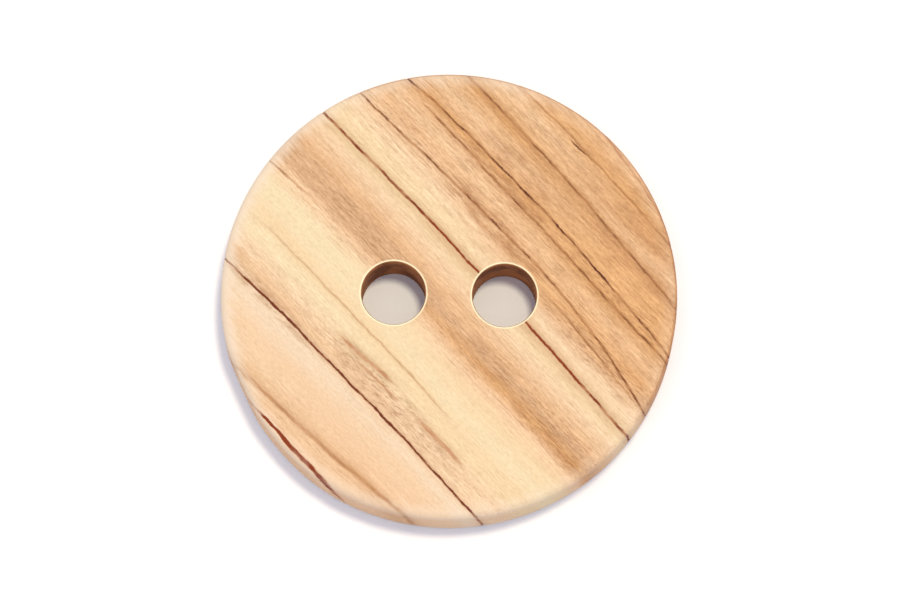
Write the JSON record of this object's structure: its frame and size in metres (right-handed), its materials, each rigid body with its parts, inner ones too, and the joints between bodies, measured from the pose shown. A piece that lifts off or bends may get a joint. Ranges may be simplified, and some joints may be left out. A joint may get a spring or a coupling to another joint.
{
  "type": "sew-on button",
  "caption": "Round flat wooden sew-on button with softly rounded edges and a pair of drilled thread holes beside its centre.",
  "frame": {"origin": "centre of the back face, the flat face that lies against the cloth", "axes": "+Z is the button's own axis and points out of the front face; +X runs along the line of the two thread holes"},
  "size_m": [0.02, 0.02, 0.0025],
  "materials": {
    "olive_wood": "smooth sanded olive wood with a thin satin oil finish"
  },
  "bodies": {
    "root": {"button_disc": "olive_wood"}
  },
  "joints": []
}
